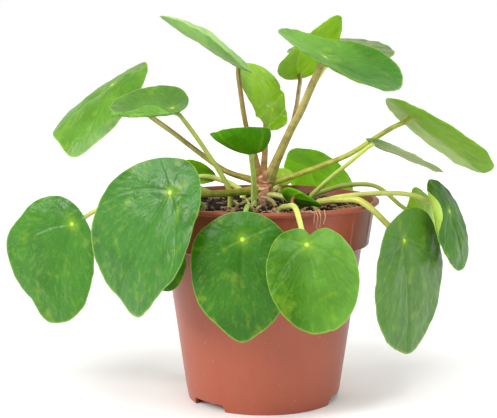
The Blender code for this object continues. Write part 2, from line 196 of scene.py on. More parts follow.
def notch_block(turn):
    block = bmesh.new()
    bmesh.ops.create_cube(block, size=1)
    bmesh.ops.scale(block, vec=(notch_width, 12, 2 * notch_height), verts=block.verts)
    corners = [edge for edge in block.edges if all(v.co.z > 0 for v in edge.verts)
               and abs(edge.verts[0].co.x - edge.verts[1].co.x) < 1e-6]
    bmesh.ops.bevel(block, geom=corners, offset=notch_corner, segments=6, profile=0.5, affect="EDGES",
                    material=-1)
    bmesh.ops.translate(block, vec=(0, -foot_radius, 0), verts=block.verts)
    bmesh.ops.rotate(block, cent=(0, 0, 0), matrix=Matrix.Rotation(radians(turn), 3, "Z"),
                     verts=block.verts)
    return block


def drain_rod(turn):
    rod = bmesh.new()
    place = Matrix.Rotation(radians(turn), 4, "Z") @ Matrix.Translation((drain_circle, 0, drain_height))
    bmesh.ops.create_cone(rod, cap_ends=True, segments=40, radius1=drain_radius, radius2=drain_radius,
                          depth=5, matrix=place)
    return rod


pot_mesh = spun(pot_outside + pot_inside, pot_steps, closed=True)
band_rows = [v for v in pot_mesh.verts
             if band_bottom < v.co.z < band_top and v.co.to_2d().length > band_inside]
bmesh.ops.subdivide_edges(pot_mesh, cuts=3, edges=[
    edge for edge in pot_mesh.edges if edge.verts[0] in band_rows and edge.verts[1] in band_rows
    and abs(edge.verts[0].co.z - edge.verts[1].co.z) > 1])
for vertex in pot_mesh.verts:
    radius = vertex.co.to_2d().length
    if band_bottom < vertex.co.z <= band_top and radius > band_inside:
        turned = degrees(atan2(vertex.co.x, -vertex.co.y))
        off_rib = rib_spacing / 2 - abs((turned - first_rib) % rib_spacing - rib_spacing / 2)
        rib = exp(-(off_rib / rib_width) ** 2) * rib_height
        vertex.co.xy *= (radius - band_sink + rib) / radius
pot_mesh = boolean_cut(pot_mesh, [notch_block(turn) for turn in notch_places]
                       + [drain_rod(360 / drain_holes * number) for number in range(drain_holes)])


def add_node(tree, kind, inputs=None, **settings):
    """Add a shader node, link the inputs that are sockets and set the others."""
    made = tree.nodes.new("ShaderNode" + kind)
    for key, value in settings.items():
        setattr(made, key, value)
    for key, value in (inputs or {}).items():
        if isinstance(value, bpy.types.NodeSocket):
            tree.links.new(value, made.inputs[key])
        else:
            made.inputs[key].default_value = value
    return made


def object_places(tree):
    return add_node(tree, "TexCoord").outputs["Object"]


def clouds(tree, scale, detail=2.0, roughness=0.5, output="Fac", places=None):
    """A cloudy pattern that runs through the piece, unless other places are given."""
    return add_node(tree, "TexNoise", {"Vector": places or object_places(tree), "Scale": scale,
                                       "Detail": detail, "Roughness": roughness}).outputs[output]


def graded(tree, value, start, stop, low, high, curve="LINEAR"):
    """A value that runs from low to high while another runs from start to stop."""
    return add_node(tree, "MapRange", {"Value": value, "From Min": start, "From Max": stop, "To Min": low,
                                       "To Max": high}, interpolation_type=curve).outputs["Result"]


def blend(tree, factor, first, second, mode="MIX"):
    return add_node(tree, "Mix", {"Factor": factor, "A": first, "B": second}, data_type="RGBA",
                    blend_type=mode).outputs["Result"]


def surface(tree, shader, colour, height=None, strength=0.0, distance=0.0):
    """Give a material its colour and, where a height is given, its fine relief."""
    tree.links.new(colour, shader.inputs["Base Color"])
    if height is not None:
        relief = add_node(tree, "Bump", {"Height": height, "Strength": strength, "Distance": distance})
        tree.links.new(relief.outputs["Normal"], shader.inputs["Normal"])


plastic, tree, shader = new_material("terracotta_plastic", 0.42)
faded = clouds(tree, 22.0, 4.0)
stretched = add_node(tree, "Mapping", {"Vector": object_places(tree), "Scale": (1.0, 1.0, 0.08)})
streaks = clouds(tree, 260.0, output="Color", places=stretched.outputs["Vector"])
dust = graded(tree, clouds(tree, 900.0, 1.0), 0.74, 0.80, 0.0, 0.5)
colour = blend(tree, faded, rgb(152, 78, 58), rgb(166, 90, 68))
colour = blend(tree, 0.06, colour, streaks, "OVERLAY")
colour = blend(tree, dust, colour, rgb(205, 165, 145))
surface(tree, shader, colour, clouds(tree, 1500.0), 0.10, 0.0004)
tree.links.new(graded(tree, faded, 0.0, 1.0, 0.30, 0.42), shader.inputs["Roughness"])
shader.inputs["Specular IOR Level"].default_value = 0.35
finish_piece(pot_mesh, "pot_shell", [plastic], ["pot"], sharp=28)


# Soil: dark fibrous peat that fills the pot to just under its lip, with crumbs and pale root fibres lying on
# it. A few fibres hang over the lip at the front.
soil_reach = 55
crumbs, crumb_reach, stem_room, crumb_sizes = 1500, 54.5, 5.2, (0.5, 0.7, 0.9, 1.2, 1.9)
fibre_steps, fibre_reach, thin_fibres, right_fibres = 7, 53.5, 330, 90
hanging_paths = [
    [(19.5, -49, 101), (22.5, -52.5, 104), (24.8, -55.6, 105.6), (25.9, -56.8, 103), (25.3, -55.8, 98),
     (26.5, -54.7, 94.5)],
    [(21.5, -48, 101), (24, -52, 104.2), (26.3, -54.9, 105.8), (27.3, -56.2, 103.2), (27.1, -55.4, 99.5),
     (26.1, -54.6, 96)],
    [(28, -46, 101), (28.5, -50, 104), (29.1, -53.6, 105.7), (29.5, -55, 102.5), (28.7, -54.4, 99)],
    [(16, -52, 100.6), (19.3, -55.3, 104), (22.4, -56.8, 105.8), (24.4, -57.4, 104.6), (24, -56.6, 100)],
    [(12, -54, 100.6), (15, -56.2, 104.4), (18.5, -57, 105.6), (22, -56.2, 105.2), (25, -53.6, 104)],
    [(-38, -38, 100.6), (-40, -41, 104), (-41.5, -44, 105.6), (-42, -45, 102)]]


def soil_height(x, y):
    """How high the soil's bumpy top is at a place."""
    radius = hypot(x, y)
    level = 101.4 - 0.9 * (radius / 40) ** 2 if radius < 40 else 100.5 - (radius - 40) * 0.11
    rough = noise.fractal(Vector((x, y, 3)) * 0.12, 1.0, 2.0, 4) * 1.3
    return level + rough * min(1.0, (56 - radius) / 6)


def on_soil(turn, reach):
    """A place so far from the pot's axis, turned from the front towards the right."""
    return reach * sin(turn), -reach * cos(turn)


soil_mesh = spun([(radius, 100.0) for radius in range(soil_reach)]
                 + [(55.4, 98.8), (53.2, 84.1), (49.4, 81.5), (39.1, 8.2), (38.6, 6.35), (0, 6.35)], 120)
for vertex in soil_mesh.verts:
    if vertex.co.z > 99.5:
        vertex.co.z = soil_height(vertex.co.x, vertex.co.y)


def three_tones(tree, value, low, middle, high):
    """A colour ramp through three tones, each given with the value that it stands for."""
    ramp = add_node(tree, "ValToRGB", {"Fac": value})
    tones = ramp.color_ramp.elements
    tones[0].position, tones[0].color = low
    tones[1].position, tones[1].color = high
    tones.new(middle[0]).color = middle[1]
    return ramp.outputs["Color"]


peat, tree, shader = new_material("peat", 0.95)
lumps = clouds(tree, 420.0, 8.0, 0.8)
colour = three_tones(tree, lumps, (0.40, rgb(20, 14, 12)), (0.57, rgb(48, 34, 25)),
                     (0.74, rgb(150, 120, 92)))
surface(tree, shader, colour, lumps, 0.9, 0.002)
finish_piece(soil_mesh, "soil_bed", [peat], ["soil"], sharp=60)

# The dice and Blender's noise vectors are both seeded, so that every run throws the same crumbs.
dice = random.Random(7)
noise.seed_set(7)
crumb_mesh = bmesh.new()
for crumb in range(crumbs):
    turn = dice.uniform(0, tau)
    reach = crumb_reach * sqrt(dice.random())
    if reach < stem_room:
        continue
    size = dice.choice(crumb_sizes) * dice.uniform(0.7, 1.2)
    x, y = on_soil(turn, reach)
    sides = (dice.uniform(0.6, 1.6), dice.uniform(0.6, 1.3), dice.uniform(0.4, 0.9), 1)
    shape = Matrix.Diagonal(sides) * size
    shape[3][3] = 1
    tumbled = Matrix.Rotation(dice.uniform(0, 6), 4, "Z") @ Matrix.Rotation(dice.uniform(-0.5, 0.5), 4, "X")
    place = Matrix.Translation((x, y, soil_height(x, y) + size * 0.3)) @ tumbled @ shape
    bmesh.ops.create_icosphere(crumb_mesh, subdivisions=1, radius=1, matrix=place)
for vertex in crumb_mesh.verts:
    vertex.co += noise.noise_vector(vertex.co * 1.1) * 0.28
finish_piece(crumb_mesh, "soil_crumbs", [peat], sharp=20)


def tubes(routes, sides_level):
    """Round tapered tubes, closed at both ends, along routes of (point, radius) pairs."""
    curve = bpy.data.curves.new("tubes", "CURVE")
    curve.dimensions = "3D"
    curve.bevel_depth = 1
    curve.bevel_resolution = sides_level
    curve.use_fill_caps = True
    for route in routes:
        spline = curve.splines.new("POLY")
        spline.points.add(len(route) - 1)
        for spot, (point, radius) in zip(spline.points, route):
            spot.co = (*point, 1)
            spot.radius = radius
    holder = add_object("tubes", curve)
    shapes = bpy.context.evaluated_depsgraph_get()
    mesh = bpy.data.meshes.new_from_object(holder.evaluated_get(shapes))
    bm = bmesh.new()
    bm.from_mesh(mesh)
    bpy.data.objects.remove(holder, do_unlink=True)
    bpy.data.meshes.remove(mesh)
    bmesh.ops.remove_doubles(bm, verts=bm.verts, dist=1e-5)
    bmesh.ops.recalc_face_normals(bm, faces=bm.faces)
    return bm


def fibre(x, y, length, heading, thickness):
    """A thin wandering root that lies on the soil."""
    route = []
    for step in range(fibre_steps + 1):
        if hypot(x, y) > fibre_reach:
            x, y = x * fibre_reach / hypot(x, y), y * fibre_reach / hypot(x, y)
        lift = thickness + sin(step / fibre_steps * pi) * dice.uniform(0.2, 1.3)
        taper = 1.1 - 0.5 * step / fibre_steps
        route.append((Vector((x, y, soil_height(x, y) + lift)), thickness * taper))
        heading += dice.uniform(-0.75, 0.75)
        x += sin(heading) * length / fibre_steps
        y += cos(heading) * length / fibre_steps
    return route


fibres = []
for number in range(thin_fibres):
    turn = dice.uniform(0, tau)
    reach = 52 * sqrt(dice.uniform(0.02, 1))
    fibres.append(fibre(*on_soil(turn, reach), dice.uniform(5, 19), dice.uniform(0, tau),
                        dice.uniform(0.12, 0.32)))
for number in range(right_fibres):
    turn = radians(dice.uniform(12, 75))
    reach = dice.uniform(28, 53)
    fibres.append(fibre(*on_soil(turn, reach), dice.uniform(6, 15), dice.uniform(0, tau),
                        dice.uniform(0.2, 0.36)))
for path in hanging_paths:
    fibres.append([(Vector(point), 0.34 - 0.03 * index) for index, point in enumerate(path)])
fibre_material, tree, shader = new_material("root_fibre", 0.8)
surface(tree, shader, blend(tree, clouds(tree, 160.0), rgb(140, 96, 66), rgb(226, 190, 148)))
finish_piece(tubes(fibres, 0), "soil_fibres", [fibre_material])


# Stem: short, thick and half woody, pinkish brown, ringed by the scars of old leaves, with papery stipules
# where the stalks leave it. Scars are given by the way they face and their height, and stipules by the same,
# their lean outwards, their length and their width.
stem_bottom, stem_top, stem_rows, stem_steps = 96.0, 117.4, 120, 96
leaf_scars = [(20, 105.2), (-60, 106.6), (120, 107.4), (200, 108.2), (-15, 109.6), (75, 110.4),
              (-120, 111.2), (15, 113.2), (150, 113.8), (-70, 114.6), (-20, 116), (100, 116.2), (40, 115.4)]
stipules = [(-25, 112.6, 0.3, 4, 2.4), (35, 109.6, 0.45, 3.4, 2.2), (-80, 110, 0.4, 3.8, 2.4),
            (5, 114.6, 0.1, 5.2, 1.8), (100, 112.2, 0.35, 3.8, 2.4), (-140, 111, 0.4, 3.8, 2.4),
            (160, 114, 0.2, 4.4, 2.4), (-50, 114.8, 0.2, 4.6, 1.6), (30, 114.2, -0.2, 4.4, 1.4)]


def turned_away(turn, middle):
    """How far one angle is past another, from minus half a turn to half a turn."""
    return (turn - middle + pi) % tau - pi


def stem_radius(turn, height):
    """The stem's radius in a direction, with the swollen scars of old leaves and fine wrinkles."""
    radius = 4.35 + 0.35 * noise.noise(Vector((sin(turn) * 1.4, cos(turn) * 1.4, height * 0.28)))
    radius += 0.22 * noise.noise(Vector((sin(turn) * 4, cos(turn) * 4, height * 0.9)))
    for scar_turn, scar_height in leaf_scars:
        away = turned_away(turn, radians(scar_turn))
        sag = scar_height + 1.0 * away * away
        radius += 0.75 * exp(-(away / 0.55) ** 2 - ((height - sag) / 0.55) ** 2)
        radius -= 0.30 * exp(-(away / 0.55) ** 2 - ((height - sag - 1.1) / 0.4) ** 2)
    if height < 105:
        radius += 0.05 * (105 - height)
    return radius * min(1.0, sqrt(max(0.0, (stem_top + 0.4 - height) / 2.2)))


stem_side = [(4.5, stem_bottom + (stem_top - stem_bottom) * row / stem_rows) for row in range(stem_rows + 1)]
stem_mesh = spun([(0, stem_bottom)] + stem_side + [(0, stem_top)], stem_steps)
scar_layer = stem_mesh.verts.layers.float.new("scar")
for vertex in stem_mesh.verts:
    if vertex.co.to_2d().length > 1:
        turn = atan2(vertex.co.x, -vertex.co.y)
        vertex.co.xy *= stem_radius(turn, vertex.co.z) / vertex.co.to_2d().length
        for scar_turn, scar_height in leaf_scars:
            away = turned_away(turn, radians(scar_turn))
            near_scar = exp(-(away / 0.5) ** 2 - ((vertex.co.z - scar_height - away * away) / 0.5) ** 2)
            vertex[scar_layer] = max(vertex[scar_layer], near_scar)


def math_node(tree, operation, first, second=0.0, third=0.0):
    return add_node(tree, "Math", {0: first, 1: second, 2: third}, operation=operation).outputs[0]


bark, tree, shader = new_material("stem_bark", 0.62)
mottle = clouds(tree, 420.0, 6.0, 0.65)
colour = three_tones(tree, mottle, (0.3, rgb(170, 120, 92)), (0.5, rgb(216, 160, 126)),
                     (0.7, rgb(238, 200, 166)))
scar = add_node(tree, "Attribute", attribute_name="scar").outputs["Fac"]
colour = blend(tree, math_node(tree, "MULTIPLY", scar, 0.5), colour, rgb(236, 204, 164))
height = add_node(tree, "SeparateXYZ", {"Vector": object_places(tree)}).outputs["Z"]
colour = blend(tree, graded(tree, height, 0.1072, 0.1035, 0.0, 0.5), colour, rgb(96, 66, 54))
surface(tree, shader, colour, mottle, 0.5, 0.0006)
finish_piece(stem_mesh, "stem_trunk", [bark], ["stem"], sharp=60)


def level_way(turn):
    """The level direction that is turned so far from the front towards the right."""
    return Vector((sin(turn), -cos(turn), 0))


def papery_scale(bm, place, toward, length, width):
    """A thin dry stipule that stands on the stem and points along toward."""
    sheet = bmesh.new()
    bmesh.ops.create_grid(sheet, x_segments=6, y_segments=10, size=0.5)
    for vertex in sheet.verts:
        share = vertex.co.y + 0.5
        side = vertex.co.x * 2 * sqrt(max(0.0, 1 - share ** 2)) * (1 + 0.4 * share)
        cup = width * 0.35 * side * side
        vertex.co = Vector((side * width / 2, share * length, cup + 0.6 * sin(share * 2.4)))
    bmesh.ops.remove_doubles(sheet, verts=sheet.verts, dist=0.02)
    bmesh.ops.solidify(sheet, geom=sheet.faces, thickness=0.22)
    bmesh.ops.recalc_face_normals(sheet, faces=sheet.faces)
    across = Vector((-place.y, place.x, 0)).normalized()
    lengthwise = toward.normalized()
    outward = across.cross(lengthwise).normalized()
    stood_up = Matrix((across, lengthwise, outward)).transposed().to_4x4()
    bmesh.ops.transform(sheet, matrix=Matrix.Translation(place) @ stood_up, verts=sheet.verts)
    carrier = bpy.data.meshes.new("scale")
    sheet.to_mesh(carrier)
    sheet.free()
    bm.from_mesh(carrier)
    bpy.data.meshes.remove(carrier)


stipule_mesh = bmesh.new()
for turn, height, lean, length, width in stipules:
    heading = level_way(radians(turn))
    papery_scale(stipule_mesh, heading * 4.4 + Vector((0, 0, height)), heading * lean + Vector((0, 0, 1)),
                 length, width)
husk, tree, shader = new_material("dry_husk", 0.6)
surface(tree, shader, blend(tree, clouds(tree, 500.0, 3.0), rgb(176, 104, 80), rgb(222, 172, 130)))
finish_piece(stipule_mesh, "stem_stipules", [husk])


# Sprouts: old runners and cut stubs at the stem's foot, a green nodule on its side and a few pale shoots,
# fleshy like the stalks and grown from the stem and its root. Each has the points it passes and its radii.
sprouts = [
    ([(3, -3, 106.6), (6, -6.5, 107.1), (10, -9.5, 106.4), (16, -12.5, 104.5), (24, -14, 103)],
     (1.6, 1.4, 1.4, 1.3, 1.2)),
    ([(2.5, -3.5, 104.5), (4.5, -9, 104.2), (6.5, -14, 102)], (1.4, 1.1, 0.9)),
    ([(-3, -2.5, 105), (-7, -7, 105), (-12, -11, 102.5)], (1.4, 1.1, 0.9)),
    ([(5.2, -3.6, 109), (6.4, -4.4, 110.4), (7, -4.8, 111.8)], (1.1, 1.7, 0.8)),
    ([(-8.5, -24, 100.5), (-7, -25, 104.5), (-8.6, -23, 107.2)], (0.9, 0.8, 0.3)),
    ([(-5, -28, 100.5), (-5.8, -27, 104), (-4, -26, 106.4)], (1.0, 0.8, 0.3)),
    ([(-3.5, -31, 100.5), (-3, -31.5, 103.4), (-1, -31, 105)], (0.9, 0.8, 0.4)),
    ([(-14, -20, 100.5), (-13, -21, 104.2), (-15, -20, 106)], (0.9, 0.8, 0.3))]


def sprout_route(points, radii):
    """A slightly crooked route through the points, in four steps between one and the next."""
    knots = [Vector(point) for point in points]
    route = []
    for number in range((len(points) - 1) * 4 + 1):
        index = min(number // 4, len(points) - 2)
        share = number / 4 - index
        bend = noise.noise_vector(Vector((number * 0.3, points[0][0], points[0][1]))) * 0.12
        route.append((knots[index].lerp(knots[index + 1], share) + bend,
                      radii[index] + (radii[index + 1] - radii[index]) * share))
    return route


def fleshy_skin(name, stripe_depth):
    """A smooth striped skin in the piece's own tint, for stalks and sprouts."""
    material, tree, shader = new_material(name, 0.4)
    tint = add_node(tree, "Attribute", attribute_name="tint").outputs["Color"]
    uv = add_node(tree, "SeparateXYZ", {"Vector": add_node(tree, "UVMap").outputs["UV"]})
    around = math_node(tree, "MULTIPLY", uv.outputs["X"], tau)
    ring = add_node(tree, "CombineXYZ", {"X": math_node(tree, "COSINE", around),
                                         "Y": math_node(tree, "SINE", around),
                                         "Z": math_node(tree, "MULTIPLY", uv.outputs["Y"], 0.7)})
    stripes = clouds(tree, 3.2, 3.0, places=ring.outputs["Vector"])
    darker = blend(tree, 1.0, tint, (0.50, 0.46, 0.36, 1), "MULTIPLY")
    colour = blend(tree, graded(tree, stripes, 0.45, 0.62, 0.0, stripe_depth), tint, darker)
    freckles = clouds(tree, 1400.0, output="Color")
    surface(tree, shader, blend(tree, 0.2, colour, freckles, "OVERLAY"), stripes, 0.35, 0.0004)
    return material


green_skin, brown_skin = fleshy_skin("green_stalk_skin", 0.22), fleshy_skin("brown_stalk_skin", 0.6)
sprout_mesh = tubes([sprout_route(points, radii) for points, radii in sprouts], 2)
tint_layer = sprout_mesh.verts.layers.float_vector.new("tint")
earthy, pale_green = Vector(rgb(140, 116, 80)[:3]), Vector(rgb(186, 188, 112)[:3])
for vertex in sprout_mesh.verts:
    vertex[tint_layer] = earthy.lerp(pale_green, min(1.0, max(0.0, (vertex.co.z - 101.5) / 5)))
finish_piece(sprout_mesh, "stem_sprouts", [green_skin])


# Stalks: one fleshy round leaf stalk for each blade. Some rise out of the soil on runners from the root, and
# are a pale green. The others leave the stem's side or top, and most are olive brown with darker stripes.
rooted_height, soil_level, stem_heart, inner_top = 96.0, 102.2, 2.6, 114.5
collar_below_navel, end_below_navel = 1.55, 1.05
brown_stalks = (2, 3, 5, 6, 7, 9, 10, 11)

# "root" is where a stalk leaves the soil, "way" and "height" where it leaves the stem's side, and "foot" its
# place on the stem's top. "via" are the points it passes, and "radius" and "shades" are given low and high.
stalks = {
    # Stalk 1 lies in shade, so its shades are painted light, lighter than its own pale green.
    1: dict(root=(-11, 12), via=[(-12, 14, 107), (-22, 17, 112), (-34, 16, 114), (-60, 12, 107),
            (-87, 2, 98)], radius=(1.5, 1.2), shades=((225, 235, 125), (200, 225, 100))),
    2: dict(way=-70, height=109, via=[(-18, -14, 109), (-31, -28, 110), (-38, -40, 111)], radius=(1.8, 1.6),
            shades=((159, 153, 50), (152, 171, 59))),
    3: dict(way=-100, height=113, via=[(-19, 4, 118), (-31, 12, 125), (-50, 24, 138), (-61, 31, 145),
            (-74, 38, 154)], radius=(1.5, 1.3), shades=((153, 130, 56), (146, 147, 56))),
    4: dict(root=(-17, -8), via=[(-18, -8, 111), (-30, -10, 131), (-42, -13, 148)], radius=(1.4, 1.1),
            shades=((183, 197, 93), (155, 177, 72))),
    5: dict(foot=(-1.8, -0.8), via=[(-4.3, -1, 126.6), (-9, -4, 142.6), (-12.2, -6, 163)], radius=(1.4, 1.2),
            shades=((158, 116, 65), (148, 129, 61))),
    6: dict(foot=(-0.2, 3.3), via=[(0.8, 5.5, 130), (1, 9, 139)], radius=(1.6, 1.3),
            shades=((184, 121, 81), (163, 164, 83))),
    7: dict(foot=(2.7, -1.4), via=[(7.4, -4.5, 126.2), (14.1, -8, 141.3), (19.5, -10, 151.9),
            (24.8, -11, 164.5)], radius=(2.3, 1.8), shades=((170, 140, 76), (166, 160, 84))),
    8: dict(root=(-5, -12), via=[(-5, -18, 116), (-6, -25, 127)], radius=(1.5, 1.2),
            shades=((200, 226, 116), (170, 215, 88))),
    9: dict(foot=(2.9, 2.4), via=[(8.4, 8, 129), (14.4, 16, 140), (17.4, 26, 150), (18.8, 33, 158.4)],
            radius=(1.3, 1.1), shades=((159, 127, 74), (161, 151, 91))),
    10: dict(way=140, height=114.5, via=[(11, 14, 132), (23, 36, 155), (35, 62, 172)], radius=(1.5, 1.3),
             shades=((235, 196, 105), (218, 222, 118))),
    11: dict(way=85, height=112, via=[(19, -3, 117.9), (31.5, -5.5, 122.8), (44.1, -8, 128.4),
             (56.8, -9, 136.7), (65.9, -9, 142.2)], radius=(1.5, 1.3),
             shades=((180, 170, 64), (176, 192, 67))),
    12: dict(root=(24, 4), via=[(29, 0, 110), (45, -18, 126.5), (52, -26, 133.5)], radius=(1.3, 1),
             shades=((199, 218, 106), (204, 229, 116))),
    13: dict(root=(28, -8), via=[(34, -8, 105), (45, -8, 107), (58, -7, 108), (75, -3, 107), (90, 2, 101)],
             radius=(1.5, 1.2), shades=((232, 240, 131), (235, 240, 145))),
    14: dict(root=(27, -15), via=[(32, -21, 106), (40, -29, 107.5), (48, -35, 107.5), (61, -32, 96)],
             radius=(1.8, 1.5), shades=((204, 210, 112), (190, 198, 72))),
    15: dict(root=(25, 12), via=[(33, 14, 107), (47, 15, 110), (60, 14, 109), (74, 15, 98)],
             radius=(1.4, 1.1), shades=((199, 217, 105), (177, 193, 105))),
    16: dict(way=125, height=111, via=[(9.3, 15, 112.2), (14.4, 32, 112.1), (20.4, 52, 112),
             (24.5, 66, 111.7)], radius=(1.2, 1.1), shades=((170, 180, 84), (163, 190, 70))),
    17: dict(root=(-28, 26), via=[(-35, 29, 107)], radius=(1.3, 1.1),
             shades=((175, 187, 93), (152, 187, 70))),
    18: dict(root=(-6, -44), via=[(-7, -52, 107), (-8, -60, 107.5), (-9, -62.5, 103)], radius=(1.3, 1.1),
             shades=((178, 178, 99), (128, 160, 69))),
    19: dict(root=(8, -40), via=[(12, -50, 107), (15, -59, 107.5), (17, -66, 102)], radius=(1.5, 1.2),
             shades=((206, 214, 125), (192, 204, 95))),
    20: dict(root=(17, -28.5), via=[], radius=(0.8, 0.7), shades=((175, 105, 81), (163, 117, 81))),
    21: dict(root=(-30, -22), via=[(-36, -30, 106), (-42, -41, 108), (-43.7, -43.4, 103), (-43.6, -43, 90)],
             radius=(1.2, 1), shades=((175, 191, 98), (128, 175, 70))),
    22: dict(root=(9, 46), via=[], radius=(1, 0.9), shades=((170, 173, 70), (158, 178, 58))),
}

